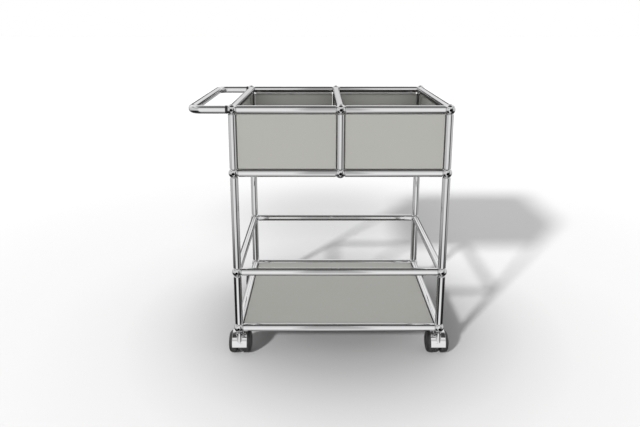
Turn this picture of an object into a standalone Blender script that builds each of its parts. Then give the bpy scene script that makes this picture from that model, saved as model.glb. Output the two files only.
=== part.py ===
"""Serving cart: a chromed tube-and-ball frame with steel bins, a shelf, a side handle and twin-wheel casters.

Metres, +Z up. The cart's front faces -Y and its handle points to -X. The origin is the middle of the whole
object's bounding box, on the floor. Lengths in the constants are millimetres and become metres through mm().
"""

import math

import bmesh
import bpy
from mathutils import Matrix, Vector

# Meshes.
SMOOTH_DEG = 40.0  # edges that turn more than this are shaded sharp
MERGE_DISTANCE = 0.01

# Frame: distances between ball centres.
FRAME_WIDTH = 500.0
FRAME_DEPTH = 395.0
BASE_HEIGHT = 78.0
GUARD_STEP = 150.0
OPEN_STEP = 250.0
BIN_STEP = 150.0

# Tubes and balls.
TUBE_R = 9.5
TUBE_BORE_R = 8.2
TUBE_SIDES = 12
BALL_R = 12.5
BALL_RINGS = 6
TUBE_START = 10.0  # from the ball's centre to the end face of the tube on it
INSERT_END = 14.0  # from the ball's centre to the end of the insert inside a post
SCREW_R = 3.0
SCREW_HOLE_START = 1.0  # from the ball's centre
CROSS_BORE_R = 3.4
STEM_BORE_R = 4.4
STEM_BORE_DEPTH = 7.0
HOLE_SIDES = 8

# Sheet-steel panels.
SHEET = 1.0
PANEL_FOLD = 8.0  # depth of the folded edge
PANEL_PROUD = 4.0  # from the tube axes to the panel's smooth face
PANEL_GAP = 1.0  # between a panel's edge and the tube beside it
GAP = 0.3  # between neighbouring pieces

# Handle.
HANDLE_REACH = 94.0  # from ball centres to the axis of the grip
HANDLE_BEND_R = 25.0
HANDLE_BEND_STEPS = 5
HANDLE_SIDES = 12
COLLAR_START = 9.3
COLLAR_END = 13.7
COLLAR_BORE_R = 8.4
COLLAR_SIDES = 16
OPEN_END = 5.0  # how far the handle's bore cutter passes its ends

# Twin-wheel casters. Local frame: the swivel axis is Z, the floor is z = 0 and the axle lies at y = TRAIL.
WHEEL_R = 28.0
WHEEL_INNER = 8.0
WHEEL_OUTER = 27.5
WHEEL_SHOULDER_R = 10.0
WHEEL_SHOULDER_STEPS = 3
WHEEL_TREAD_CHAMFER = 1.5
WHEEL_CAP_R = 16.0
WHEEL_CAP_RECESS = 1.2
WHEEL_SIDES = 16
TRAIL = 20.0
AXLE_R = 3.0
AXLE_BORE_R = 3.3
AXLE_HALF = 23.0
AXLE_POCKET = 24.0
PIN_SIDES = 12
HOOD_HALF = 18.5
HOOD_INNER_R = 29.3
HOOD_OUTER_R = 31.0
HOOD_FRONT_DEG = 181.0
HOOD_BACK_DEG = 62.0
WEB_HALF = 7.0
HOOD_STEPS = 9
HUB_R = 9.0
HUB_STEPS = 6
BOSS_TOP = 63.0
BOSS_TOP_R = 6.6
BOSS_WAIST = 52.0
BOSS_WAIST_R = 7.0
BOSS_FOOT = 32.5
BOSS_FOOT_R = 10.6
BOSS_SIDES = 16
WHEEL_ROOM = 0.2  # what the cut beside the wheels leaves on the web and under the shell
SOCKET_R = 4.5
SOCKET_BOTTOM = 34.0
STEM_R = 4.0
STEM_BOTTOM = 35.0
STEM_COLLAR_R = 6.0
STEM_COLLAR = (63.4, 65.8)
STEM_TOP = 71.0

# The levels of the ball centres.
BASE_Z = BASE_HEIGHT
GUARD_Z = BASE_Z + GUARD_STEP
BIN_Z = GUARD_Z + OPEN_STEP
TOP_Z = BIN_Z + BIN_STEP
LEVELS = (TOP_Z, BIN_Z, GUARD_Z, BASE_Z)

# The frame's middle, so that the origin is the middle of the bounding box.
LEFT_REACH = FRAME_WIDTH / 2 + HANDLE_REACH + TUBE_R
RIGHT_REACH = FRAME_WIDTH / 2 + WHEEL_OUTER
MIDDLE_X = (LEFT_REACH - RIGHT_REACH) / 2
SIDE_X = {"left": MIDDLE_X - FRAME_WIDTH / 2, "right": MIDDLE_X + FRAME_WIDTH / 2}
SIDE_Y = {"front": -FRAME_DEPTH / 2, "back": FRAME_DEPTH / 2}

ALONG = {
    "X": Matrix.Rotation(math.radians(90), 4, "Y"),
    "Y": Matrix.Rotation(math.radians(-90), 4, "X"),
    "Z": Matrix.Identity(4),
}


def mm(*values):
    """Millimetres to metres: a number for one value, a Vector for three."""
    return values[0] / 1000 if len(values) == 1 else Vector(values) / 1000


def clear_scene():
    for obj in list(bpy.data.objects):
        bpy.data.objects.remove(obj, do_unlink=True)


def make_collection(name):
    collection = bpy.data.collections.new(name)
    bpy.context.scene.collection.children.link(collection)
    return collection


def make_material(name, color, metallic, roughness):
    material = bpy.data.materials.new(name)
    material.use_nodes = True
    shader = material.node_tree.nodes["Principled BSDF"]
    shader.inputs["Base Color"].default_value = (*color, 1.0)
    shader.inputs["Metallic"].default_value = metallic
    shader.inputs["Roughness"].default_value = roughness
    return material


clear_scene()
CART = make_collection("serving_cart")
CUTTERS = make_collection("cutters")
CHROME = make_material("chrome", (0.78, 0.78, 0.79), 1.0, 0.08)
PAINT = make_material("grey_powder_coat", (0.48, 0.48, 0.45), 0.0, 0.45)
BLACK_PLASTIC = make_material("black_plastic", (0.02, 0.02, 0.02), 0.0, 0.4)
WHEEL_BLACK = make_material("wheel_black", (0.03, 0.03, 0.03), 0.0, 0.55)
STEEL = make_material("steel", (0.6, 0.6, 0.6), 1.0, 0.3)


def add_object(name, mesh, material, place=None):
    obj = bpy.data.objects.new(name, mesh)
    CART.objects.link(obj)
    if not mesh.materials:
        mesh.materials.append(material)
    if place is not None:
        obj.matrix_world = place
    return obj


def add_cutter(name, mesh):
    cutter = bpy.data.objects.new(name, mesh)
    CUTTERS.objects.link(cutter)
    cutter.hide_render = True
    cutter.display_type = "WIRE"
    return cutter


def add_boolean(obj, other, operation="DIFFERENCE"):
    modifier = obj.modifiers.new(other.name, "BOOLEAN")
    modifier.operation = operation
    modifier.object = other


def mesh_from(bm, name):
    bmesh.ops.recalc_face_normals(bm, faces=bm.faces)
    mesh = bpy.data.meshes.new(name)
    bm.to_mesh(mesh)
    bm.free()
    return mesh


def shade_round(mesh):
    mesh.shade_smooth()
    mesh.set_sharp_from_angle(angle=math.radians(SMOOTH_DEG))


def turned_mesh(name, profile, sides, closed):
    """A profile of (radius, height) points in mm, turned about Z. It runs down its outer side."""
    points = [mm(radius, 0, height) for radius, height in profile]
    edges = [(i, i + 1) for i in range(len(points) - 1)]
    if closed:
        edges.append((len(points) - 1, 0))
    outline = bpy.data.meshes.new(name + "_outline")
    outline.from_pydata(points, edges, [])
    guide = bpy.data.objects.new(name + "_outline", outline)
    CART.objects.link(guide)
    screw = guide.modifiers.new("turn", "SCREW")
    screw.axis = "Z"
    screw.steps = sides
    screw.render_steps = sides
    screw.use_merge_vertices = True
    screw.merge_threshold = mm(MERGE_DISTANCE)
    graph = bpy.context.evaluated_depsgraph_get()
    mesh = bpy.data.meshes.new_from_object(guide.evaluated_get(graph))
    mesh.name = name
    bpy.data.objects.remove(guide, do_unlink=True)
    bpy.data.meshes.remove(outline)
    shade_round(mesh)
    return mesh


def cylinder_mesh(name, radius, start, end, sides, axis="Z"):
    """A solid round bar in mm, from start to end along an axis."""
    bm = bmesh.new()
    middle = Matrix.Translation(mm(0, 0, (start + end) / 2))
    bmesh.ops.create_cone(
        bm,
        cap_ends=True,
        segments=sides,
        radius1=mm(radius),
        radius2=mm(radius),
        depth=mm(end - start),
        matrix=ALONG[axis] @ middle,
    )
    return mesh_from(bm, name)


def tube_profile(length):
    """The section of a tube of this length, as a closed loop about its middle."""
    half = length / 2
    return [(TUBE_R, half), (TUBE_R, -half), (TUBE_BORE_R, -half), (TUBE_BORE_R, half)]


def ball_arc(centre, top, bottom):
    """Points on a ball's outline from height top down to height bottom, both from its centre."""
    start, end = math.acos(top / BALL_R), math.acos(bottom / BALL_R)
    angles = [start + (end - start) * i / BALL_RINGS for i in range(BALL_RINGS + 1)]
    return [(BALL_R * math.sin(a), centre + BALL_R * math.cos(a)) for a in angles]


def stack_profile(centres, end_bores):
    """The section of balls joined by tubes: down the outside, then up through the bores.

    centres are the balls' heights, highest first. end_bores are the radii of the top and bottom openings.
    """
    outer, bore = [], []
    last = len(centres) - 1
    for i, centre in enumerate(centres):
        top = math.sqrt(BALL_R**2 - end_bores[0] ** 2) if i == 0 else TUBE_START
        bottom = math.sqrt(BALL_R**2 - end_bores[1] ** 2) if i == last else TUBE_START
        if i > 0:
            outer.append((TUBE_R, centre + TUBE_START))
        outer += ball_arc(centre, top, -bottom)
        if i < last:
            outer.append((TUBE_R, centre - TUBE_START))
            bore.append((CROSS_BORE_R, centre - INSERT_END))
            bore.append((TUBE_BORE_R, centre - INSERT_END))
            bore.append((TUBE_BORE_R, centres[i + 1] + INSERT_END))
            bore.append((CROSS_BORE_R, centres[i + 1] + INSERT_END))
    return outer, bore


def drill(obj, centres, direction):
    """Cuts a screw hole into each ball, from its centre outwards along a direction."""
    bm = bmesh.new()
    start, end = SCREW_HOLE_START, BALL_R + GAP
    turn = Vector((0, 0, 1)).rotation_difference(Vector(direction)).to_matrix().to_4x4()
    middle = Matrix.Translation(mm(0, 0, (start + end) / 2))
    for centre in centres:
        bmesh.ops.create_cone(
            bm,
            cap_ends=True,
            segments=HOLE_SIDES,
            radius1=mm(SCREW_R),
            radius2=mm(SCREW_R),
            depth=mm(end - start),
            matrix=Matrix.Translation(mm(*centre)) @ turn @ middle,
        )
    name = f"{obj.name}_holes_{len(obj.modifiers)}"
    add_boolean(obj, add_cutter(name, mesh_from(bm, name)))


def make_columns():
    """Four corner columns: each is four balls joined by three hollow posts."""
    outer, bore = stack_profile(LEVELS, (CROSS_BORE_R, STEM_BORE_R))
    seat_z = BASE_Z - BALL_R + STEM_BORE_DEPTH
    stem_seat = [(STEM_BORE_R, seat_z), (CROSS_BORE_R, seat_z)]
    mesh = turned_mesh("column", outer + stem_seat + bore[::-1], TUBE_SIDES, closed=True)
    for end, y in SIDE_Y.items():
        for side, x in SIDE_X.items():
            column = add_object(f"column_{end}_{side}", mesh, CHROME, Matrix.Translation(mm(x, y, 0)))
            centres = [(x, y, z) for z in LEVELS]
            drill(column, centres, (math.copysign(1, x - MIDDLE_X), 0, 0))
            drill(column, centres, (0, math.copysign(1, y), 0))


def make_double_rails():
    """Long rails above and below the bins: two tubes with a ball between them, where the divider meets."""
    tube_end = FRAME_WIDTH / 2 - TUBE_START - GAP
    outer, bore = [(TUBE_R, tube_end), (TUBE_R, TUBE_START)], []
    outer += ball_arc(0, TUBE_START, -TUBE_START)
    outer += [(TUBE_R, -TUBE_START), (TUBE_R, -tube_end)]
    bore += [(TUBE_BORE_R, -tube_end), (TUBE_BORE_R, -INSERT_END), (CROSS_BORE_R, -INSERT_END)]
    bore += [(CROSS_BORE_R, INSERT_END), (TUBE_BORE_R, INSERT_END), (TUBE_BORE_R, tube_end)]
    mesh = turned_mesh("double_rail", outer + bore, TUBE_SIDES, closed=True)
    for level, z in (("top", TOP_Z), ("bin", BIN_Z)):
        for end, y in SIDE_Y.items():
            place = Matrix.Translation(mm(MIDDLE_X, y, z)) @ ALONG["X"]
            rail = add_object(f"{level}_{end}_rail", mesh, CHROME, place)
            drill(rail, [(MIDDLE_X, y, z)], (0, math.copysign(1, y), 0))
            drill(rail, [(MIDDLE_X, y, z)], (0, 0, 1 if level == "top" else -1))


def make_rails():
    """Every rail that is a single tube, and the two posts between the double rails."""
    across = turned_mesh("rail_across", tube_profile(FRAME_WIDTH - 2 * (TUBE_START + GAP)), TUBE_SIDES, True)
    deep = turned_mesh("rail_deep", tube_profile(FRAME_DEPTH - 2 * (TUBE_START + GAP)), TUBE_SIDES, True)
    post = turned_mesh("short_post", tube_profile(BIN_STEP - 2 * (TUBE_START + GAP)), TUBE_SIDES, True)
    for level, z in (("guard", GUARD_Z), ("base", BASE_Z)):
        for end, y in SIDE_Y.items():
            place = Matrix.Translation(mm(MIDDLE_X, y, z)) @ ALONG["X"]
            add_object(f"{level}_{end}_rail", across, CHROME, place)
    sides = {"top": TOP_Z, "bin": BIN_Z, "guard": GUARD_Z, "base": BASE_Z}
    for level, z in sides.items():
        for side, x in SIDE_X.items():
            add_object(f"{level}_{side}_rail", deep, CHROME, Matrix.Translation(mm(x, 0, z)) @ ALONG["Y"])
    for level in ("top", "bin"):
        place = Matrix.Translation(mm(MIDDLE_X, 0, sides[level])) @ ALONG["Y"]
        add_object(f"{level}_centre_rail", deep, CHROME, place)
    for end, y in SIDE_Y.items():
        place = Matrix.Translation(mm(MIDDLE_X, y, (TOP_Z + BIN_Z) / 2))
        add_object(f"centre_post_{end}", post, CHROME, place)


def panel_mesh(name, width, height):
    """A sheet with folded edges, its smooth face up at z = 0 and its folds running down."""
    bm = bmesh.new()
    size = Matrix.Diagonal((*mm(width, height, PANEL_FOLD), 1.0))
    bmesh.ops.create_cube(bm, size=1.0, matrix=Matrix.Translation(mm(0, 0, -PANEL_FOLD / 2)) @ size)
    under = [face for face in bm.faces if face.normal.z < -0.5]
    bmesh.ops.delete(bm, geom=under, context="FACES_ONLY")
    return mesh_from(bm, name)


def add_panel(name, width, height, place):
    panel = add_object(name, panel_mesh(name, width, height), PAINT, place)
    shell = panel.modifiers.new("sheet", "SOLIDIFY")
    shell.thickness = mm(SHEET)
    shell.offset = -1.0
    shell.use_even_offset = True


def make_panels():
    """Sheet-steel panels of the two bins, and the shelf at the base."""
    clear = 2 * (TUBE_R + PANEL_GAP)
    half_width, depth, height = FRAME_WIDTH / 2 - clear, FRAME_DEPTH - clear, BIN_STEP - clear
    wall_z = (TOP_Z + BIN_Z) / 2
    bin_x = {"left": MIDDLE_X - FRAME_WIDTH / 4, "right": MIDDLE_X + FRAME_WIDTH / 4}
    facing = {
        "front": Matrix.Rotation(math.radians(90), 4, "X"),
        "back": Matrix.Rotation(math.radians(-90), 4, "X"),
        "left": Matrix.Rotation(math.radians(-90), 4, "Y"),
        "right": Matrix.Rotation(math.radians(90), 4, "Y"),
    }
    for side, x in bin_x.items():
        for end, y in SIDE_Y.items():
            proud = math.copysign(PANEL_PROUD, y)
            place = Matrix.Translation(mm(x, y + proud, wall_z)) @ facing[end]
            add_panel(f"{end}_panel_{side}", half_width, height, place)
        add_panel(f"bin_floor_{side}", half_width, depth, Matrix.Translation(mm(x, 0, BIN_Z + PANEL_PROUD)))
    for side, x in SIDE_X.items():
        proud = math.copysign(PANEL_PROUD, x - MIDDLE_X)
        place = Matrix.Translation(mm(x + proud, 0, wall_z)) @ facing[side]
        add_panel(f"side_panel_{side}", height, depth, place)
    place = Matrix.Translation(mm(MIDDLE_X + PANEL_PROUD, 0, wall_z)) @ facing["right"]
    add_panel("divider_panel", height, depth, place)
    place = Matrix.Translation(mm(MIDDLE_X, 0, BASE_Z + PANEL_PROUD))
    add_panel("base_shelf", FRAME_WIDTH - clear, depth, place)


def handle_path(extra):
    """The handle's axis in mm: out from one corner, along the grip and back. extra lengthens both ends."""
    start_x = SIDE_X["left"] - COLLAR_END - GAP
    bend_x = SIDE_X["left"] - HANDLE_REACH + HANDLE_BEND_R
    points = [(start_x + extra, SIDE_Y["front"], TOP_Z)]
    for end, first in (("front", 270), ("back", 180)):
        centre_y = SIDE_Y[end] - math.copysign(HANDLE_BEND_R, SIDE_Y[end])
        for i in range(HANDLE_BEND_STEPS + 1):
            angle = math.radians(first - 90 * i / HANDLE_BEND_STEPS)
            along_x, along_y = HANDLE_BEND_R * math.cos(angle), HANDLE_BEND_R * math.sin(angle)
            points.append((bend_x + along_x, centre_y + along_y, TOP_Z))
    points.append((start_x + extra, SIDE_Y["back"], TOP_Z))
    return points


def bent_bar(name, points, radius):
    """A closed mesh of a round bar along points in mm."""
    curve = bpy.data.curves.new(name, "CURVE")
    curve.dimensions = "3D"
    curve.bevel_depth = mm(radius)
    curve.bevel_resolution = HANDLE_SIDES // 4
    curve.use_fill_caps = True
    spline = curve.splines.new("POLY")
    spline.points.add(len(points) - 1)
    for point, place in zip(spline.points, points):
        point.co = (*mm(*place), 1.0)
    guide = bpy.data.objects.new(name, curve)
    CART.objects.link(guide)
    graph = bpy.context.evaluated_depsgraph_get()
    mesh = bpy.data.meshes.new_from_object(guide.evaluated_get(graph))
    bpy.data.objects.remove(guide, do_unlink=True)
    bpy.data.curves.remove(curve)
    bm = bmesh.new()
    bm.from_mesh(mesh)
    bmesh.ops.remove_doubles(bm, verts=bm.verts, dist=mm(MERGE_DISTANCE))
    bpy.data.meshes.remove(mesh)
    mesh = mesh_from(bm, name)
    shade_round(mesh)
    return mesh


def make_handle():
    """The push handle: a bent hollow tube, with a black collar between each end and its corner ball."""
    handle = add_object("handle_tube", bent_bar("handle_tube", handle_path(0.0), TUBE_R), CHROME)
    bore = add_cutter("handle_bore", bent_bar("handle_bore", handle_path(OPEN_END), TUBE_BORE_R))
    add_boolean(handle, bore)
    half = (COLLAR_END - COLLAR_START) / 2
    profile = [(TUBE_R, half), (TUBE_R, -half), (COLLAR_BORE_R, -half), (COLLAR_BORE_R, half)]
    mesh = turned_mesh("handle_collar", profile, COLLAR_SIDES, closed=True)
    for end, y in SIDE_Y.items():
        x = SIDE_X["left"] - (COLLAR_START + COLLAR_END) / 2
        place = Matrix.Translation(mm(x, y, TOP_Z)) @ ALONG["X"]
        add_object(f"handle_collar_{end}", mesh, BLACK_PLASTIC, place)


def hood_arc(radius):
    """Points of an arc about the axle, from the hood's front edge over its top to its back edge."""
    turn = HOOD_BACK_DEG - HOOD_FRONT_DEG
    return [about_axle(radius, HOOD_FRONT_DEG + turn * i / HOOD_STEPS) for i in range(HOOD_STEPS + 1)]


def about_axle(radius, degrees):
    """The (y, z) point in mm at this radius and angle from the axle."""
    angle = math.radians(degrees)
    return TRAIL + radius * math.cos(angle), WHEEL_R + radius * math.sin(angle)


def plate_mesh(name, outline, start, end):
    """A flat outline of (y, z) points in mm, made a solid from x = start to x = end."""
    bm = bmesh.new()
    face = bm.faces.new([bm.verts.new(mm(start, y, z)) for y, z in outline])
    pushed = bmesh.ops.extrude_face_region(bm, geom=[face])
    moved = [item for item in pushed["geom"] if isinstance(item, bmesh.types.BMVert)]
    bmesh.ops.translate(bm, verts=moved, vec=mm(end - start, 0, 0))
    return mesh_from(bm, name)


def hood_mesh():
    """The caster's hood: a curved shell over both wheels, on a web that carries the axle and the stem."""
    shell = hood_arc(HOOD_OUTER_R) + hood_arc(HOOD_INNER_R)[::-1]
    hood = add_object("hood_shell", plate_mesh("hood_shell", shell, -HOOD_HALF, HOOD_HALF), CHROME)
    hub_turn = HOOD_BACK_DEG + 180
    hub = [about_axle(HUB_R, HOOD_BACK_DEG - hub_turn * i / HUB_STEPS) for i in range(HUB_STEPS + 1)]
    web = hood_arc((HOOD_INNER_R + HOOD_OUTER_R) / 2) + hub
    boss = [(0, BOSS_TOP), (BOSS_TOP_R, BOSS_TOP), (BOSS_WAIST_R, BOSS_WAIST)]
    boss += [(BOSS_FOOT_R, BOSS_FOOT), (0, BOSS_FOOT)]
    room = hood_arc(HOOD_INNER_R - WHEEL_ROOM) + [(TRAIL, WHEEL_R)]
    room_start, room_end = WEB_HALF + WHEEL_ROOM, HOOD_HALF + GAP
    joins = [
        ("UNION", plate_mesh("hood_web", web, -WEB_HALF, WEB_HALF)),
        ("UNION", turned_mesh("hood_boss", boss, BOSS_SIDES, closed=False)),
        ("DIFFERENCE", plate_mesh("hood_room_right", room, room_start, room_end)),
        ("DIFFERENCE", plate_mesh("hood_room_left", room, -room_end, -room_start)),
        ("DIFFERENCE", cylinder_mesh("hood_socket", SOCKET_R, SOCKET_BOTTOM, BOSS_TOP + GAP, PIN_SIDES)),
        ("DIFFERENCE", axle_hole_mesh()),
    ]
    tools = []
    for operation, mesh in joins:
        tool = add_cutter(mesh.name, mesh)
        add_boolean(hood, tool, operation)
        tools.append(tool)
    graph = bpy.context.evaluated_depsgraph_get()
    mesh = bpy.data.meshes.new_from_object(hood.evaluated_get(graph))
    mesh.name = "caster_hood"
    for done in [hood, *tools]:
        bpy.data.objects.remove(done, do_unlink=True)
    shade_round(mesh)
    return mesh


def axle_hole_mesh():
    mesh = cylinder_mesh("hood_axle_hole", AXLE_BORE_R, -HOOD_HALF, HOOD_HALF, PIN_SIDES, "X")
    mesh.transform(Matrix.Translation(mm(0, TRAIL, WHEEL_R)))
    return mesh


def wheel_mesh():
    """One wheel about Z, inner face down: a round shoulder, a shallow cap recess and a blind axle bore."""
    recess = WHEEL_OUTER - WHEEL_CAP_RECESS
    profile = [(0, recess), (WHEEL_CAP_R - WHEEL_CAP_RECESS, recess), (WHEEL_CAP_R, WHEEL_OUTER)]
    for i in range(WHEEL_SHOULDER_STEPS + 1):
        angle = math.radians(90 - 90 * i / WHEEL_SHOULDER_STEPS)
        across = WHEEL_R - WHEEL_SHOULDER_R + WHEEL_SHOULDER_R * math.cos(angle)
        profile.append((across, WHEEL_OUTER - WHEEL_SHOULDER_R + WHEEL_SHOULDER_R * math.sin(angle)))
    profile += [(WHEEL_R, WHEEL_INNER + WHEEL_TREAD_CHAMFER), (WHEEL_R - WHEEL_TREAD_CHAMFER, WHEEL_INNER)]
    profile += [(AXLE_BORE_R, WHEEL_INNER), (AXLE_BORE_R, AXLE_POCKET), (0, AXLE_POCKET)]
    return turned_mesh("caster_wheel", profile, WHEEL_SIDES, closed=False)


def stem_mesh():
    """The swivel stem: a pin for the hood's socket, a collar and an upper end that screws into the ball."""
    low, high = STEM_COLLAR
    profile = [(0, STEM_TOP), (STEM_R, STEM_TOP), (STEM_R, high), (STEM_COLLAR_R, high), (STEM_COLLAR_R, low)]
    profile += [(STEM_R, low), (STEM_R, STEM_BOTTOM), (0, STEM_BOTTOM)]
    return turned_mesh("caster_stem", profile, PIN_SIDES, closed=False)


def make_casters():
    """Four casters. The two at the back are turned half a turn, so that every caster trails inwards."""
    hood, wheel, stem = hood_mesh(), wheel_mesh(), stem_mesh()
    axle = cylinder_mesh("caster_axle", AXLE_R, -AXLE_HALF, AXLE_HALF, PIN_SIDES, "X")
    turned = {"front": Matrix.Identity(4), "back": Matrix.Rotation(math.radians(180), 4, "Z")}
    for end, y in SIDE_Y.items():
        for side, x in SIDE_X.items():
            name = f"caster_{end}_{side}"
            swivel = Matrix.Translation(mm(x, y, 0)) @ turned[end]
            at_axle = swivel @ Matrix.Translation(mm(0, TRAIL, WHEEL_R))
            add_object(name + "_stem", stem, STEEL, Matrix.Translation(mm(x, y, 0)))
            add_object(name + "_hood", hood, CHROME, swivel)
            add_object(name + "_axle", axle, STEEL, at_axle)
            for hand, about in (("right", 90), ("left", -90)):
                towards = hand if end == "front" else {"left": "right", "right": "left"}[hand]
                facing = Matrix.Rotation(math.radians(about), 4, "Y")
                add_object(f"{name}_wheel_{towards}", wheel, WHEEL_BLACK, at_axle @ facing)


make_columns()
make_double_rails()
make_rails()
make_panels()
make_handle()
make_casters()
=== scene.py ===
import math

import bmesh
import bpy
from mathutils import Matrix, Vector


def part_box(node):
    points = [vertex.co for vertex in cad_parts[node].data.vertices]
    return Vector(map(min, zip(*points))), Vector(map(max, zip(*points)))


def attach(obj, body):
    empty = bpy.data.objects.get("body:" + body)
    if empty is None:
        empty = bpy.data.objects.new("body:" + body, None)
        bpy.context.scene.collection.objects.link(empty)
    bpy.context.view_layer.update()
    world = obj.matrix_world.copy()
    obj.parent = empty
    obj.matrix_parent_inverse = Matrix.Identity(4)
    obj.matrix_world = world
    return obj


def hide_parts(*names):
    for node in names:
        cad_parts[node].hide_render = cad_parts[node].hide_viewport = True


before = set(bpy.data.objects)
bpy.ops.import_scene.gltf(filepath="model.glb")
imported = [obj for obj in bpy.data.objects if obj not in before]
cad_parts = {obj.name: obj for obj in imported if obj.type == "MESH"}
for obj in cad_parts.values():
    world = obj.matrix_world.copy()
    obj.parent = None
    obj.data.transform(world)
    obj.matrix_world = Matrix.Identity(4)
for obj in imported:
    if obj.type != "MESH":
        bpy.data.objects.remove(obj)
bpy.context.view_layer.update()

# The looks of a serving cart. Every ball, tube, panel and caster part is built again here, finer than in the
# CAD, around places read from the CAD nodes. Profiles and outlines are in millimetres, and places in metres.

# Tubes and balls, in mm.
TUBE_R = 9.5
TUBE_BORE_R = 7.7
TUBE_START = 10.15  # from a ball's centre to the tube's end face
TUBE_CHAMFER = 1.5
BALL_R = 12.5
HOLE_R = 3.2
THREAD_DEPTH = 0.35
THREAD_PITCH = 0.8
HOLE_FLOOR = 4.5  # from the ball's centre
HOLE_MOUTH = 11.5
COUNTERSINK = 0.3  # how much wider the mouth is
COUNTERSINK_DEPTH = 0.5
ROUND_SIDES = 56
HOLE_SIDES = 28
BALL_RINGS = 36

# Folded sheets, in mm.
SHEET = 1.0
FOLD_DEPTH = 8.0
FOLD_R = 1.6
FOLD_STEPS = 5
FOLD_RELIEF = 0.5  # how far a fold's ends stay back from the corner
SHEET_RIM = 0.18

# Handle, in mm.
BEND_R = 25.0
BEND_STEPS = 18
COLLAR_RIM = 0.35
COLLAR_GROOVE = 0.3

# Casters, in mm. Local frame: the swivel axis is Z, the floor is z = 0 and the axle lies at y = TRAIL.
TRAIL = 20.0
WHEEL_R = 28.0
WHEEL_FACE = 27.5  # from the middle of the axle
SHOULDER_R = 10.0
SHOULDER_STEPS = 12
HOOD_HALF = 18.5
HOOD_R = (29.3, 31.0)
HOOD_DEG = (181.0, 62.0)
HOOD_STEPS = 48
HOOD_RIM = 0.55
WEB_HALF = 7.0
WEB_RIM = 0.8
HUB_R = 9.0
HUB_STEPS = 16
WHEEL_ROOM = 0.2  # between the web or the hood and the room cut for a wheel
AXLE_HOLE_R = 3.3
AXLE_HOLE_HALF = 20.0
AXLE_HOLE_SIDES = 24
AXLE_SIDES = 32
STEM_SIDES = 40

# Shading: an edge sharper than this stays sharp.
SHARP_DEG = 35.0
HANDLE_SHARP_DEG = 50.0
HOOD_SHARP_DEG = 12.0

# Studio, in metres and degrees.
FLOOR_HALF = 30.0
# Middles of the floor's painted shade: one round the cart, and one behind it.
CONTACT_SHADE_MIDDLE = (0.06, 0.0, 0.0)
SHADE_CENTRE = (0.03, 0.9, 0.0)
KEY_DIRECTION = (1.10, 1.54, -1.0)
KEY_STRENGTH = 6.1
KEY_SPREAD_DEG = 5.5
CAMERA_PLACE = (-0.0127, -1.4919, 0.8245)
CAMERA_DOWN_DEG = 13.02
CAMERA_SHIFT = (0.002, -0.094)
LENS = 32.08
SENSOR_WIDTH = 36.0


def mm(*values):
    """Millimetres to metres: a number for one value, a Vector for three."""
    return values[0] / 1000 if len(values) == 1 else Vector(values) / 1000


def middle(node):
    low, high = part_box(node)
    return (low + high) / 2


ENDS = ("front", "back")
SIDES = ("left", "right")
COLUMNS = {(end, side): middle(f"column_{end}_{side}") for end in ENDS for side in SIDES}
LEVELS = {level: middle(f"{level}_left_rail").z for level in ("top", "bin", "guard", "base")}
SIDE_X = {side: COLUMNS["front", side].x for side in SIDES}
END_Y = {end: COLUMNS[end, "left"].y for end in ENDS}
CENTRE_X = middle("centre_post_front").x

TO_X = Matrix.Rotation(math.radians(90), 4, "Y")
TO_Y = Matrix.Rotation(math.radians(-90), 4, "X")
FACING = {
    "front": Matrix.Rotation(math.radians(90), 4, "X"),
    "back": Matrix.Rotation(math.radians(-90), 4, "X"),
    "left": Matrix.Rotation(math.radians(-90), 4, "Y"),
    "right": Matrix.Rotation(math.radians(90), 4, "Y"),
    "up": Matrix.Identity(4),
}


# ---------------------------------------------------------------- materials


class Nodes:
    """A small writer for node trees: each call adds a node, sets its values and links its inputs."""

    def __init__(self, tree):
        self.tree = tree

    def add(self, kind, inputs=None, **settings):
        node = self.tree.nodes.new(kind)
        for key, value in settings.items():
            setattr(node, key, value)
        for key, value in (inputs or {}).items():
            if isinstance(value, bpy.types.NodeSocket):
                self.tree.links.new(value, node.inputs[key])
            else:
                node.inputs[key].default_value = value
        return node

    def math(self, operation, first, second=0.0):
        return self.add("ShaderNodeMath", {0: first, 1: second}, operation=operation).outputs[0]

    def mapped(self, value, low, high, to_low, to_high, smooth=False):
        inputs = {"Value": value, "From Min": low, "From Max": high, "To Min": to_low, "To Max": to_high}
        kind = "SMOOTHSTEP" if smooth else "LINEAR"
        return self.add("ShaderNodeMapRange", inputs, interpolation_type=kind).outputs[0]

    def noise(self, place, scale, detail=3.0, roughness=0.5):
        inputs = {"Vector": place, "Scale": scale, "Detail": detail, "Roughness": roughness}
        return self.add("ShaderNodeTexNoise", inputs).outputs["Fac"]

    def blend(self, factor, first, second):
        node = self.add("ShaderNodeMix", data_type="RGBA")
        for socket, value in ((0, factor), (6, first), (7, second)):
            if isinstance(value, bpy.types.NodeSocket):
                self.tree.links.new(value, node.inputs[socket])
            else:
                node.inputs[socket].default_value = value
        return node.outputs[2]

    def ramp(self, value, stops):
        node = self.add("ShaderNodeValToRGB", {0: value})
        elements = node.color_ramp.elements
        for _ in range(len(stops) - 2):
            elements.new(0.5)
        for element, (position, level) in zip(elements, stops):
            element.position = position
            element.color = (level, level, level, 1.0)
        return node.outputs[0]


def grey(level, tint=(1.0, 1.0, 1.0)):
    return (level * tint[0], level * tint[1], level * tint[2], 1.0)


def new_material(name, metallic=0.0, **fixed):
    """A material with its Principled shader, a node writer and object coordinates."""
    material = bpy.data.materials.new(name)
    material.use_nodes = True
    nodes = Nodes(material.node_tree)
    shader = material.node_tree.nodes["Principled BSDF"]
    shader.inputs["Metallic"].default_value = metallic
    for key, value in fixed.items():
        shader.inputs[key.replace("_", " ")].default_value = value
    place = nodes.add("ShaderNodeTexCoord").outputs["Object"]
    return material, nodes, shader, place


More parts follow.
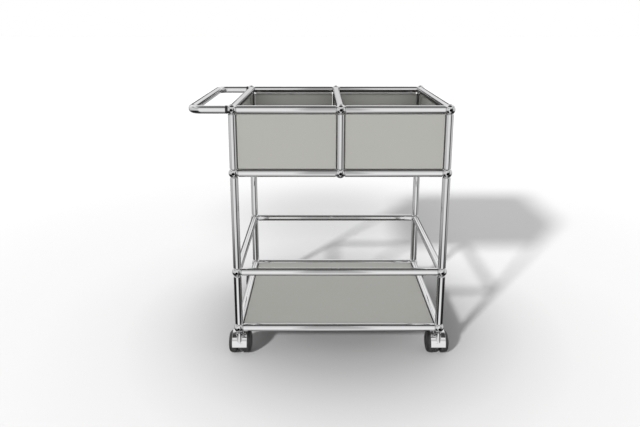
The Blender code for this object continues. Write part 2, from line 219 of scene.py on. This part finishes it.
def finish_material(nodes, shader, colour, roughness, height, strength, distance):
    tree = nodes.tree
    bump = nodes.add("ShaderNodeBump", {"Height": height, "Strength": strength, "Distance": distance})
    tree.links.new(colour, shader.inputs["Base Color"])
    tree.links.new(roughness, shader.inputs["Roughness"])
    tree.links.new(bump.outputs[0], shader.inputs["Normal"])


def chrome_material(name, level, rough):
    """Bright chrome plating: faint haze and finger smudges in the gloss, and a very slight waviness."""
    material, nodes, shader, place = new_material(name, metallic=1.0)
    cloud = nodes.noise(place, 22.0, 4.0)
    fine = nodes.noise(place, 420.0, 2.0)
    colour = nodes.blend(cloud, grey(level - 0.025, (1.0, 1.0, 1.01)), grey(level + 0.025, (1.0, 1.0, 1.005)))
    haze = nodes.mapped(cloud, 0.45, 0.75, rough, rough + 0.045, smooth=True)
    gloss = nodes.math("ADD", haze, nodes.math("MULTIPLY", fine, 0.015))
    finish_material(nodes, shader, colour, gloss, fine, 0.02, 0.0002)
    return material


def powder_material():
    """Satin powder coat on sheet steel: warm light grey, with its fine orange-peel grain."""
    material, nodes, shader, place = new_material("grey_powder_coat", Specular_IOR_Level=0.42)
    broad = nodes.noise(place, 5.0, 3.0)
    grain = nodes.noise(place, 1500.0, 2.0, 0.6)
    speck = nodes.noise(place, 3800.0, 1.0)
    light, dark = grey(0.436, (1.0, 0.997, 0.93)), grey(0.416, (1.0, 0.997, 0.925))
    base = nodes.blend(broad, dark, light)
    flecks = nodes.mapped(speck, 0.35, 0.65, 0.0, 0.10)
    colour = nodes.blend(flecks, base, grey(0.36, (1.0, 0.995, 0.94)))
    gloss = nodes.mapped(grain, 0.3, 0.7, 0.46, 0.58)
    finish_material(nodes, shader, colour, gloss, grain, 0.16, 0.00035)
    return material


def collar_material():
    """Moulded black plastic with a fine satin texture."""
    material, nodes, shader, place = new_material("black_collar_plastic")
    grain = nodes.noise(place, 1800.0, 2.0)
    colour = nodes.blend(grain, grey(0.012), grey(0.022))
    gloss = nodes.mapped(grain, 0.3, 0.7, 0.32, 0.46)
    finish_material(nodes, shader, colour, gloss, grain, 0.12, 0.0003)
    return material


def wheel_material():
    """Black polyamide: a fine moulded grain, and grey floor dust held in a broken band on the tread."""
    material, nodes, shader, place = new_material("black_wheel_polyamide")
    parts = nodes.add("ShaderNodeSeparateXYZ", {0: place})
    across = nodes.math("MULTIPLY", parts.outputs[0], parts.outputs[0])
    along = nodes.math("MULTIPLY", parts.outputs[1], parts.outputs[1])
    radius = nodes.math("SQRT", nodes.math("ADD", across, along))
    tread = nodes.mapped(radius, mm(WHEEL_R - 1.6), mm(WHEEL_R - 0.1), 0.0, 1.0, smooth=True)
    patch = nodes.mapped(nodes.noise(place, 130.0, 4.0, 0.6), 0.42, 0.68, 0.05, 0.55, smooth=True)
    dust = nodes.math("MULTIPLY", tread, patch)
    grain = nodes.noise(place, 1600.0, 2.0)
    black = nodes.blend(grain, grey(0.024), grey(0.036))
    colour = nodes.blend(dust, black, grey(0.12, (1.0, 0.98, 0.95)))
    gloss = nodes.math("ADD", nodes.mapped(grain, 0.3, 0.7, 0.38, 0.5), nodes.math("MULTIPLY", dust, 0.3))
    finish_material(nodes, shader, colour, gloss, grain, 0.15, 0.0003)
    return material


def turned_steel_material():
    """Zinc-plated turned steel: fine tool rings about the axis and a cloudy plating."""
    material, nodes, shader, place = new_material("zinc_steel", metallic=1.0)
    parts = nodes.add("ShaderNodeSeparateXYZ", {0: place})
    rings = nodes.add("ShaderNodeCombineXYZ", {2: parts.outputs[2]})
    tool = nodes.noise(rings.outputs[0], 2600.0, 2.0)
    cloud = nodes.noise(place, 90.0, 3.0)
    colour = nodes.blend(cloud, grey(0.50, (1.0, 0.99, 0.97)), grey(0.62, (0.99, 1.0, 1.01)))
    gloss = nodes.mapped(tool, 0.3, 0.7, 0.22, 0.36)
    finish_material(nodes, shader, colour, gloss, tool, 0.2, 0.0002)
    return material


def painted_hole_shade_material():
    """Painted shade: the inside of a threaded hole, coloured as good as black because it lies unlit."""
    material, nodes, shader, place = new_material("threaded_hole", Specular_IOR_Level=0.15)
    grain = nodes.noise(place, 900.0, 2.0)
    colour = nodes.blend(grain, grey(0.003), grey(0.010))
    gloss = nodes.mapped(grain, 0.3, 0.7, 0.6, 0.8)
    finish_material(nodes, shader, colour, gloss, grain, 0.1, 0.0002)
    return material


CHROME = chrome_material("tube_chrome_plating", 0.79, 0.035)
HOOD_CHROME = chrome_material("hood_chrome_plating", 0.80, 0.05)
POWDER = powder_material()
COLLAR = collar_material()
WHEEL = wheel_material()
STEEL = turned_steel_material()
THREAD = painted_hole_shade_material()


# ---------------------------------------------------------------- mesh tools


def mesh_from(bm, name):
    bmesh.ops.recalc_face_normals(bm, faces=bm.faces)
    mesh = bpy.data.meshes.new(name)
    bm.to_mesh(mesh)
    bm.free()
    return mesh


def modified(mesh, *steps):
    """A mesh after modifiers, each given as its kind and its settings."""
    guide = bpy.data.objects.new(mesh.name, mesh)
    bpy.context.scene.collection.objects.link(guide)
    for kind, settings in steps:
        modifier = guide.modifiers.new(kind.lower(), kind)
        for key, value in settings.items():
            setattr(modifier, key, value)
    graph = bpy.context.evaluated_depsgraph_get()
    made = bpy.data.meshes.new_from_object(guide.evaluated_get(graph), depsgraph=graph)
    made.name = mesh.name
    bpy.data.objects.remove(guide, do_unlink=True)
    return made


def shaded(mesh, sharp_deg=SHARP_DEG):
    """The mesh with smooth shading that its large faces set, so narrow rims don't bend the highlights."""
    mesh.shade_smooth()
    mesh.set_sharp_from_angle(angle=math.radians(sharp_deg))
    return modified(mesh, ("WEIGHTED_NORMAL", {"mode": "FACE_AREA", "keep_sharp": True}))


def arc(centre, radius, start_deg, end_deg, steps):
    """Points of an arc in a profile's or outline's plane."""
    angles = [math.radians(start_deg + (end_deg - start_deg) * i / steps) for i in range(steps + 1)]
    return [(centre[0] + radius * math.cos(a), centre[1] + radius * math.sin(a)) for a in angles]


def turned(name, profile, sides=ROUND_SIDES, closed=False):
    """A profile of (radius, height) points in mm, turned about Z. A point at radius 0 is a pole."""
    bm = bmesh.new()
    rings = []
    for radius, height in profile:
        count = sides if radius > 0 else 1
        turns = [2 * math.pi * i / count for i in range(count)]
        rings.append([bm.verts.new(mm(radius * math.cos(a), radius * math.sin(a), height)) for a in turns])
    pairs = list(zip(rings, rings[1:]))
    if closed:
        pairs.append((rings[-1], rings[0]))
    for upper, lower in pairs:
        for i in range(sides):
            j = (i + 1) % sides
            corners = [upper[i % len(upper)], upper[j % len(upper)]]
            corners += [lower[j % len(lower)], lower[i % len(lower)]]
            bm.faces.new(list(dict.fromkeys(corners)))
    return mesh_from(bm, name)


def plate(name, outline, half, bevel):
    """An outline of (y, z) points in mm as a solid from x = -half to x = half, with rounded rims."""
    bm = bmesh.new()
    face = bm.faces.new([bm.verts.new(mm(-half, y, z)) for y, z in outline])
    pushed = bmesh.ops.extrude_face_region(bm, geom=[face])
    moved = [item for item in pushed["geom"] if isinstance(item, bmesh.types.BMVert)]
    bmesh.ops.translate(bm, verts=moved, vec=mm(2 * half, 0, 0))
    bmesh.ops.recalc_face_normals(bm, faces=bm.faces)
    rim = [edge for edge in bm.edges if edge.calc_face_angle(0.0) > math.radians(50)]
    bmesh.ops.bevel(bm, geom=rim, offset=mm(bevel), segments=3, profile=0.5, affect="EDGES")
    return mesh_from(bm, name)


def combined(mesh, tools):
    """A mesh after exact Booleans with other meshes. Cut faces keep the tool's material."""
    helpers, steps = [], []
    for operation, tool_mesh in tools:
        helper = bpy.data.objects.new(tool_mesh.name, tool_mesh)
        bpy.context.scene.collection.objects.link(helper)
        helpers.append(helper)
        settings = {"operation": operation, "solver": "EXACT", "material_mode": "TRANSFER", "object": helper}
        steps.append(("BOOLEAN", settings))
    made = modified(mesh, *steps)
    for helper in helpers:
        bpy.data.objects.remove(helper, do_unlink=True)
    return made


def add_piece(name, mesh, material, body, place, nodes):
    """One visible piece: placed, given its finish, riding on its CAD body, standing for the nodes given."""
    obj = bpy.data.objects.new(name, mesh)
    bpy.context.scene.collection.objects.link(obj)
    if not mesh.materials:
        mesh.materials.append(material)
    obj.matrix_world = place
    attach(obj, body)
    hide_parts(*nodes)


def add_chrome(name, mesh, centre, turn, nodes):
    """A chromed piece of the frame, turned and then moved to its centre."""
    add_piece(name, mesh, CHROME, "cart_frame", Matrix.Translation(centre) @ turn, nodes)


# ---------------------------------------------------------------- balls and tubes


def hole_cutter(direction):
    """A threaded hole with a countersunk mouth, from inside the ball out along a direction."""
    profile = [(0, HOLE_FLOOR), (HOLE_R - THREAD_DEPTH, HOLE_FLOOR)]
    turns = int((HOLE_MOUTH - HOLE_FLOOR) / THREAD_PITCH)
    for i in range(turns):
        start = HOLE_FLOOR + i * THREAD_PITCH
        profile.append((HOLE_R, start + THREAD_PITCH / 2))
        profile.append((HOLE_R - THREAD_DEPTH, start + THREAD_PITCH))
    mouth_r, outside = HOLE_R + COUNTERSINK, BALL_R + 1
    profile += [(HOLE_R, HOLE_MOUTH), (mouth_r, HOLE_MOUTH + COUNTERSINK_DEPTH)]
    profile += [(mouth_r, outside), (0, outside)]
    mesh = turned("screw_hole", profile, sides=HOLE_SIDES)
    # Painted shade: the hole's faces, its countersunk mouth too, take this near-black colour.
    mesh.materials.append(THREAD)
    mesh.transform(Vector((0, 0, 1)).rotation_difference(Vector(direction)).to_matrix().to_4x4())
    return mesh


def ball_mesh(name, hole_directions):
    """A polished ball with screw holes. Its normals point out from its centre, so it shades as a sphere."""
    turns = [math.pi * i / BALL_RINGS for i in range(1, BALL_RINGS)]
    profile = [(BALL_R * math.sin(a), BALL_R * math.cos(a)) for a in turns]
    ball = turned(name, [(0, BALL_R), *profile, (0, -BALL_R)])
    ball.materials.append(CHROME)
    ball = combined(ball, [("DIFFERENCE", hole_cutter(direction)) for direction in hole_directions])
    normals = [Vector()] * len(ball.loops)
    for face in ball.polygons:
        outer = ball.materials[face.material_index] == CHROME
        for loop in face.loop_indices:
            place = ball.vertices[ball.loops[loop].vertex_index].co
            normals[loop] = place.normalized() if outer else face.normal.copy()
    ball.normals_split_custom_set(normals)
    return ball


def tube_mesh(name, length):
    """A tube of this length in mm with its ends chamfered down towards the balls."""
    half = length / 2
    start, face_r = half - TUBE_CHAMFER, TUBE_R - TUBE_CHAMFER
    end = [(TUBE_R, start - 0.25), (TUBE_R - 0.12, start + 0.1)]
    end += [(face_r + 0.1, half - 0.12), (face_r - 0.1, half), (TUBE_BORE_R, half)]
    other_end = [(radius, -height) for radius, height in reversed(end)]
    return shaded(turned(name, other_end + end, closed=True))


def make_columns():
    """Corner columns: a ball at each level and a post between each two."""
    open_ball = ball_mesh("corner_ball", [(1, 0, 0), (0, 1, 0)])
    top_ball = ball_mesh("corner_ball_top", [(1, 0, 0), (0, 1, 0), (0, 0, 1)])
    base_ball = ball_mesh("corner_ball_base", [(1, 0, 0), (0, 1, 0), (0, 0, -1)])
    outward_deg = {("back", "right"): 0, ("back", "left"): 90}
    outward_deg |= {("front", "left"): 180, ("front", "right"): -90}
    meshes = {"top": top_ball, "bin": open_ball, "guard": open_ball, "base": base_ball}
    levels = list(LEVELS)
    posts = {}
    for upper, lower in zip(levels, levels[1:]):
        length = (LEVELS[upper] - LEVELS[lower]) * 1000 - 2 * TUBE_START
        posts[upper, lower] = tube_mesh(f"post_{lower}_to_{upper}", length)
    for (end, side), column in COLUMNS.items():
        turn = Matrix.Rotation(math.radians(outward_deg[end, side]), 4, "Z")
        node = f"column_{end}_{side}"
        for level, height in LEVELS.items():
            centre = (column.x, column.y, height)
            add_chrome(f"ball_{level}_{end}_{side}", meshes[level], centre, turn, [node])
        for (upper, lower), mesh in posts.items():
            centre = (column.x, column.y, (LEVELS[upper] + LEVELS[lower]) / 2)
            add_chrome(f"post_{lower}_{upper}_{end}_{side}", mesh, centre, Matrix.Identity(4), [node])


def make_rails():
    """Rails and centre posts, and the balls where the divider's frame meets the long rails."""
    full = (SIDE_X["right"] - SIDE_X["left"]) * 1000
    depth = (END_Y["back"] - END_Y["front"]) * 1000
    rail_half = tube_mesh("rail_half", full / 2 - 2 * TUBE_START)
    rail_full = tube_mesh("rail_full", full - 2 * TUBE_START)
    rail_deep = tube_mesh("rail_deep", depth - 2 * TUBE_START)
    short_post = tube_mesh("short_post", (LEVELS["top"] - LEVELS["bin"]) * 1000 - 2 * TUBE_START)
    middle_ball = ball_mesh("middle_ball", [(0, 1, 0), (0, 0, 1)])
    flips = {
        ("top", "back"): Matrix.Identity(4),
        ("top", "front"): Matrix.Rotation(math.pi, 4, "Z"),
        ("bin", "front"): Matrix.Rotation(math.pi, 4, "X"),
        ("bin", "back"): Matrix.Rotation(math.pi, 4, "Y"),
    }
    for (level, end), flip in flips.items():
        node, y, z = f"{level}_{end}_rail", END_Y[end], LEVELS[level]
        add_chrome(f"ball_{level}_{end}_middle", middle_ball, (CENTRE_X, y, z), flip, [node])
        for side, x in SIDE_X.items():
            add_chrome(f"{node}_{side}", rail_half, ((x + CENTRE_X) / 2, y, z), TO_X, [node])
    for level in ("guard", "base"):
        for end, y in END_Y.items():
            node = f"{level}_{end}_rail"
            add_chrome(node + "_tube", rail_full, (CENTRE_X, y, LEVELS[level]), TO_X, [node])
    for level, z in LEVELS.items():
        lines = dict(SIDE_X, centre=CENTRE_X) if level in ("top", "bin") else SIDE_X
        for line, x in lines.items():
            node = f"{level}_{line}_rail"
            add_chrome(node + "_tube", rail_deep, (x, 0, z), TO_Y, [node])
    for end, y in END_Y.items():
        node = f"centre_post_{end}"
        add_chrome(node + "_tube", short_post, middle(node), Matrix.Identity(4), [node])


# ---------------------------------------------------------------- panels


def folded_sheet(name, width, height):
    """A sheet bent down along its four edges, smooth face up at z = 0, with relief cuts at the corners."""
    bm = bmesh.new()
    flat_x, flat_y = width / 2 - FOLD_R, height / 2 - FOLD_R
    signs = ((-1, -1), (1, -1), (1, 1), (-1, 1))
    corners = [bm.verts.new(mm(flat_x * across, flat_y * along, 0)) for across, along in signs]
    bm.faces.new(corners)
    fold = arc((0, -FOLD_R), FOLD_R, 90, 0, FOLD_STEPS)[1:] + [(FOLD_R, -FOLD_DEPTH)]
    for i in range(4):
        first, second = corners[i], corners[(i + 1) % 4]
        outward = (second.co - first.co).cross(Vector((0, 0, 1))).normalized()
        along = (second.co - first.co).normalized()
        row = (first, second)
        for reach, drop in fold:
            step = outward * mm(reach) + Vector((0, 0, mm(drop)))
            inset = along * mm(FOLD_RELIEF if drop < -FOLD_R else 0.0)
            next_row = (bm.verts.new(first.co + step + inset), bm.verts.new(second.co + step - inset))
            bm.faces.new((row[0], row[1], next_row[1], next_row[0]))
            row = next_row
    sheet = {"thickness": mm(SHEET), "offset": -1.0, "use_even_offset": True}
    edges = {"width": mm(SHEET_RIM), "segments": 2, "angle_limit": math.radians(50)}
    return shaded(modified(mesh_from(bm, name), ("SOLIDIFY", sheet), ("BEVEL", edges)))


def add_panel(node, facing):
    """A folded sheet in the place of a CAD panel, with its smooth face on the side that it faces."""
    low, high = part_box(node)
    centre, size = (low + high) / 2, (high - low) * 1000
    outward = FACING[facing] @ Vector((0, 0, 1))
    depth_axis = max(range(3), key=lambda axis: abs(outward[axis]))
    centre[depth_axis] = high[depth_axis] if outward[depth_axis] > 0 else low[depth_axis]
    spans = FACING[facing].inverted() @ size
    mesh = folded_sheet(node + "_sheet", abs(spans.x), abs(spans.y))
    place = Matrix.Translation(centre) @ FACING[facing]
    add_piece(node + "_sheet", mesh, POWDER, "cart_frame", place, [node])


def make_panels():
    """The bins' panels and floors, the divider between them and the base shelf."""
    for side in SIDES:
        add_panel(f"front_panel_{side}", "front")
        add_panel(f"back_panel_{side}", "back")
        add_panel(f"side_panel_{side}", side)
        add_panel(f"bin_floor_{side}", "up")
    add_panel("divider_panel", "right")
    add_panel("base_shelf", "up")


# ---------------------------------------------------------------- handle


def swept_tube(name, path):
    """A tube along level points in mm, each with its direction, closed across its ends."""
    bm = bmesh.new()
    rings = []
    for point, direction in path:
        side = direction.cross(Vector((0, 0, 1)))
        turns = [2 * math.pi * i / ROUND_SIDES for i in range(ROUND_SIDES)]
        around = [side * math.cos(a) + Vector((0, 0, 1)) * math.sin(a) for a in turns]
        rings.append([bm.verts.new((point + offset * TUBE_R) / 1000) for offset in around])
    for ring, following in zip(rings, rings[1:]):
        for i in range(ROUND_SIDES):
            j = (i + 1) % ROUND_SIDES
            bm.faces.new((ring[i], ring[j], following[j], following[i]))
    for ring in (rings[0], rings[-1]):
        bm.faces.new(ring)
    return shaded(mesh_from(bm, name), HANDLE_SHARP_DEG)


def make_handle():
    """The push handle: out from the front corner, round two bends and back to the rear corner."""
    low, high = (corner * 1000 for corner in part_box("handle_tube"))
    grip_x, z = low.x + TUBE_R, LEVELS["top"] * 1000
    front, back = END_Y["front"] * 1000, END_Y["back"] * 1000
    path = [(Vector((high.x, front, z)), Vector((-1, 0, 0)))]
    for centre_y, start in ((front + BEND_R, -90), (back - BEND_R, 180)):
        for i in range(BEND_STEPS + 1):
            angle = math.radians(start - 90 * i / BEND_STEPS)
            out = Vector((math.cos(angle), math.sin(angle), 0))
            centre = Vector((grip_x + BEND_R, centre_y, z))
            path.append((centre + out * BEND_R, Vector((out.y, -out.x, 0))))
    path.append((Vector((high.x, back, z)), Vector((1, 0, 0))))
    tube = swept_tube("handle_bent_tube", path)
    add_chrome("handle_bent_tube", tube, Vector(), Matrix.Identity(4), ["handle_tube"])
    for end in END_Y:
        node = f"handle_collar_{end}"
        low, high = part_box(node)
        half = (high.x - low.x) * 1000 / 2
        rim = [(TUBE_R - COLLAR_RIM, half), (TUBE_R, half - COLLAR_RIM), (TUBE_R, COLLAR_GROOVE)]
        rim += [(TUBE_R - COLLAR_GROOVE, 0), (TUBE_R, -COLLAR_GROOVE), (TUBE_R, COLLAR_RIM - half)]
        rim += [(TUBE_R - COLLAR_RIM, -half), (TUBE_BORE_R, -half), (TUBE_BORE_R, half)]
        collar = shaded(turned(node + "_ring", rim, closed=True))
        place = Matrix.Translation((low + high) / 2) @ TO_X
        add_piece(node + "_ring", collar, COLLAR, "cart_frame", place, [node])


# ---------------------------------------------------------------- casters


def hood_mesh():
    """The chromed hood: a curved shell over both wheels, a web between them, and the boss for the stem."""
    inner, outer = HOOD_R
    hub = (TRAIL, WHEEL_R)
    shell = arc(hub, outer, *HOOD_DEG, HOOD_STEPS) + arc(hub, inner, *reversed(HOOD_DEG), HOOD_STEPS)
    web = arc(hub, (inner + outer) / 2, *HOOD_DEG, HOOD_STEPS) + arc(hub, HUB_R, HOOD_DEG[1], -180, HUB_STEPS)
    boss = [(0, 63), (5.9, 63), (6.4, 62.8), (6.6, 62.3), (7.0, 52), (10.6, 32.5), (0, 32.5)]
    tools = [("UNION", plate("hood_web", web, WEB_HALF, WEB_RIM)), ("UNION", turned("hood_boss", boss))]
    room = arc(hub, inner - WHEEL_ROOM, *HOOD_DEG, HOOD_STEPS) + [hub]
    room_half = (HOOD_HALF - WEB_HALF) / 2
    for side in (-1, 1):
        beside = plate("hood_room", room, room_half, 0.1)
        beside.transform(Matrix.Translation(mm(side * (WEB_HALF + WHEEL_ROOM + room_half), 0, 0)))
        tools.append(("DIFFERENCE", beside))
    hole = [(0, AXLE_HOLE_HALF), (AXLE_HOLE_R, AXLE_HOLE_HALF)]
    hole += [(AXLE_HOLE_R, -AXLE_HOLE_HALF), (0, -AXLE_HOLE_HALF)]
    axle_hole = turned("hood_axle_hole", hole, sides=AXLE_HOLE_SIDES)
    axle_hole.transform(Matrix.Translation(mm(0, *hub)) @ TO_X)
    tools.append(("DIFFERENCE", axle_hole))
    hood = shaded(combined(plate("caster_hood", shell, HOOD_HALF, HOOD_RIM), tools), HOOD_SHARP_DEG)
    hood.materials.clear()  # the Booleans leave an empty slot
    hood.materials.append(HOOD_CHROME)
    return hood


def wheel_mesh():
    """One wheel about Z, its outer face up: hub cap, recessed disc, shoulder, tread and hollow inner face."""
    profile = [(0, 26.7), (3.5, 26.6), (6.5, 26.2), (8.2, 25.6), (8.5, 25.0), (9.3, 25.0), (9.6, 25.5)]
    profile += [(14.4, 25.9), (15.0, 26.3), (15.7, 27.1), (16.6, WHEEL_FACE)]
    profile += arc((WHEEL_R - SHOULDER_R, WHEEL_FACE - SHOULDER_R), SHOULDER_R, 90, 0, SHOULDER_STEPS)
    profile += [(WHEEL_R, 15.2), (WHEEL_R - 0.35, 14.9), (WHEEL_R - 0.35, 14.3), (WHEEL_R, 14.0)]
    profile += [(WHEEL_R, 9.6), (WHEEL_R - 0.5, 8.5), (WHEEL_R - 1.6, 8.0), (24.6, 8.0), (24.0, 8.6)]
    profile += [(23.4, 10.4), (12.4, 10.4), (11.6, 8.6), (11.0, 8.0)]
    profile += [(AXLE_HOLE_R, 8.0), (AXLE_HOLE_R, 24.0), (0, 24.0)]
    return shaded(turned("caster_wheel", profile))


def stem_mesh():
    """The swivel stem: a pin in the hood, a collar with a groove, and the end that screws into the ball."""
    profile = [(0, 71), (2.5, 71), (2.9, 70.6), (2.9, 65.8), (5.6, 65.8), (6, 65.5), (6, 64.9), (5.6, 64.7)]
    profile += [(5.6, 64.4), (6, 64.2), (6, 63.7), (5.7, 63.4), (4, 63.4), (4, 35.4), (3.6, 35), (0, 35)]
    return shaded(turned("caster_stem", profile, sides=STEM_SIDES))


def make_casters():
    """Four twin-wheel casters: the stem stays with the frame, and hood, axle and wheels swivel about it."""
    hood, wheel, stem = hood_mesh(), wheel_mesh(), stem_mesh()
    pin = [(0, 23), (2.6, 23), (3, 22.6), (3, -22.6), (2.6, -23), (0, -23)]
    axle = shaded(turned("caster_axle", pin, sides=AXLE_SIDES))
    turns = {"front": Matrix.Identity(4), "back": Matrix.Rotation(math.pi, 4, "Z")}
    for (end, side), column in COLUMNS.items():
        name = f"caster_{end}_{side}"
        upright = Matrix.Translation((column.x, column.y, 0))
        swivel = upright @ turns[end]
        at_axle = swivel @ Matrix.Translation(mm(0, TRAIL, WHEEL_R))
        body = name + "_swivel"
        add_piece(name + "_stem_pin", stem, STEEL, "cart_frame", upright, [name + "_stem"])
        add_piece(name + "_hood_shell", hood, HOOD_CHROME, body, swivel, [name + "_hood"])
        add_piece(name + "_axle_pin", axle, STEEL, body, at_axle @ TO_X, [name + "_axle"])
        for hand, about in (("right", 90), ("left", -90)):
            facing = Matrix.Translation(middle(f"{name}_axle")) @ Matrix.Rotation(math.radians(about), 4, "Y")
            node = f"{name}_wheel_{hand}"
            add_piece(node + "_tyre", wheel, WHEEL, node + "_roll", facing, [node])


# ---------------------------------------------------------------- studio


def make_floor():
    """A plain pale floor with painted shade: its tone is deeper under and behind the cart than far away,
    painted in for the cart's soft shadow.
    """
    bm = bmesh.new()
    bmesh.ops.create_grid(bm, x_segments=1, y_segments=1, size=FLOOR_HALF)
    floor = bpy.data.objects.new("studio_floor", mesh_from(bm, "studio_floor"))
    bpy.context.scene.collection.objects.link(floor)
    material, nodes, shader, place = new_material("studio_floor_paper", Roughness=0.9, Specular_IOR_Level=0.1)

    def distance_from(centre):
        inputs = {0: place, 1: centre}
        return nodes.add("ShaderNodeVectorMath", inputs, operation="DISTANCE").outputs["Value"]

    # Painted shade: the floor's colour darkens towards the cart, and in a patch behind it, for the cart's
    # soft shadow. Far away it stays pale.
    distance = distance_from(CONTACT_SHADE_MIDDLE)
    contact_shade_tones = [(0.14, 0.22), (0.26, 0.28), (0.37, 0.36), (0.49, 0.44), (0.61, 0.487), (0.85, 0.507)]
    near = nodes.ramp(distance, contact_shade_tones)
    far = nodes.mapped(distance, 0.9, 3.0, 0.0, 1.0, smooth=True)
    shade = nodes.mapped(distance_from(SHADE_CENTRE), 0.1, 0.65, 0.24, 0.0, smooth=True)
    colour = nodes.blend(shade, nodes.blend(far, near, grey(0.58)), grey(0.0))
    material.node_tree.links.new(colour, shader.inputs["Base Color"])
    floor.data.materials.append(material)
    floor.visible_glossy = False
    return floor


def make_world():
    """The studio: white to the camera, even light to matt surfaces, and walls with gaps to the chrome."""
    world = bpy.data.worlds.new("studio")
    bpy.context.scene.world = world
    world.use_nodes = True
    world.cycles.sampling_method = "NONE"  # sampled as a lamp, it couldn't tell matt rays from glossy ones
    nodes = Nodes(world.node_tree)
    direction = nodes.add("ShaderNodeTexCoord").outputs["Generated"]
    parts = nodes.add("ShaderNodeSeparateXYZ", {0: direction})
    x, y, z = parts.outputs[0], parts.outputs[1], parts.outputs[2]
    elevation = nodes.math("MULTIPLY", nodes.math("ARCSINE", z), 180 / math.pi)
    height = nodes.mapped(elevation, -90, 90, 0.0, 1.0)
    towards_front = nodes.math("MULTIPLY", y, -1.0)
    azimuth = nodes.math("MULTIPLY", nodes.math("ARCTAN2", x, towards_front), 180 / math.pi)
    off_front = nodes.math("ABSOLUTE", azimuth)

    def by_height(*pairs):
        return nodes.ramp(height, [((deg + 90) / 180, level) for deg, level in pairs])

    def near(angle, centre, inner, outer, level=1.0, smooth=False):
        """The level within the inner distance of an angle, and 0 beyond the outer one."""
        away = nodes.math("ABSOLUTE", nodes.math("SUBTRACT", angle, centre))
        return nodes.mapped(away, inner, outer, level, 0.0, smooth)

    # Walls in front, at the sides and behind, from the floor up. They end in a dark ceiling.
    front = by_height((-90, 0.38), (-74, 0.52), (-45, 0.66), (-36, 0.94), (24, 0.98), (29, 0.64), (40, 0.64),
                      (46, 0.97), (52, 0.9), (60, 0.08), (90, 0.03))
    sides = by_height((-90, 0.02), (-25, 0.01), (-20, 0.45), (-10, 0.66), (24, 0.76), (29, 0.42), (40, 0.42),
                      (46, 0.9), (52, 0.85), (60, 0.08), (90, 0.03))
    rear = by_height((-90, 0.38), (-60, 0.16), (-30, 0.12), (-12, 0.4), (0, 0.62), (24, 1.0), (60, 0.85),
                     (70, 0.08), (90, 0.03))
    towards_rear = nodes.mapped(off_front, 108, 132, 0.0, 1.0, smooth=True)
    towards_camera = near(azimuth, 0.0, 24, 40, smooth=True)
    walls = nodes.blend(towards_camera, nodes.blend(towards_rear, sides, rear), front)

    # Dark gaps between the walls: front right, front left near the floor, and one at each side behind.
    below_walls = nodes.mapped(elevation, 18, 30, 0.9, 0.0)
    right_gap = nodes.math("MULTIPLY", near(azimuth, 42.0, 14, 21, smooth=True), below_walls)
    near_floor = nodes.mapped(elevation, -24, -18, 0.7, 0.0)
    left_gap = nodes.math("MULTIPLY", near(azimuth, -48.0, 8, 16, smooth=True), near_floor)
    rear_gap = nodes.math("MULTIPLY", near(off_front, 163.0, 6, 9), near(elevation, 2.0, 7, 10))
    gaps = nodes.math("MAXIMUM", nodes.math("MAXIMUM", right_gap, left_gap), rear_gap)
    walls = nodes.blend(gaps, walls, grey(0.05))

    # A narrow upright shade in front, where the camera stands.
    in_front = near(azimuth, 1.5, 2.5, 4.5, smooth=True)
    shade = nodes.math("MULTIPLY", in_front, near(elevation, 18.0, 40, 46, 0.42))
    glossy = nodes.blend(shade, walls, grey(0.0))

    # Matt surfaces see an even light, and much less of it by way of another surface.
    path = nodes.add("ShaderNodeLightPath")
    ambient = by_height((-90, 0.6), (0, 2.5), (15, 1.82), (40, 0.98), (90, 0.2))
    indirect = nodes.mapped(path.outputs["Ray Depth"], 2.0, 3.0, 0.0, 0.85)
    matt = nodes.blend(indirect, ambient, grey(0.0))
    seen = nodes.blend(path.outputs["Is Diffuse Ray"], glossy, matt)
    seen = nodes.blend(path.outputs["Is Camera Ray"], seen, grey(1.0))
    back = world.node_tree.nodes["Background"]
    world.node_tree.links.new(seen, back.inputs["Color"])


def make_key(floor):
    """A soft key from the front left that draws the cart's shadow on the floor and lights nothing else."""
    sun = bpy.data.lights.new("key", "SUN")
    sun.energy = KEY_STRENGTH
    sun.angle = math.radians(KEY_SPREAD_DEG)
    key = bpy.data.objects.new("key", sun)
    key.rotation_mode = "QUATERNION"
    key.rotation_quaternion = Vector(KEY_DIRECTION).to_track_quat("-Z", "Y")
    bpy.context.scene.collection.objects.link(key)
    lit = bpy.data.collections.new("lit_by_key")
    bpy.context.scene.collection.children.link(lit)
    lit.objects.link(floor)
    key.light_linking.receiver_collection = lit


def make_camera():
    """A camera in front of the cart and a little above it, looking slightly down."""
    data = bpy.data.cameras.new("camera")
    data.sensor_width = SENSOR_WIDTH
    data.lens = LENS
    data.shift_x, data.shift_y = CAMERA_SHIFT
    camera = bpy.data.objects.new("camera", data)
    camera.location = CAMERA_PLACE
    camera.rotation_euler = (math.radians(90 - CAMERA_DOWN_DEG), 0, 0)
    bpy.context.scene.collection.objects.link(camera)
    bpy.context.scene.camera = camera


make_columns()
make_rails()
make_panels()
make_handle()
make_casters()
make_world()
make_key(make_floor())
make_camera()
bpy.context.scene.view_settings.view_transform = "Standard"
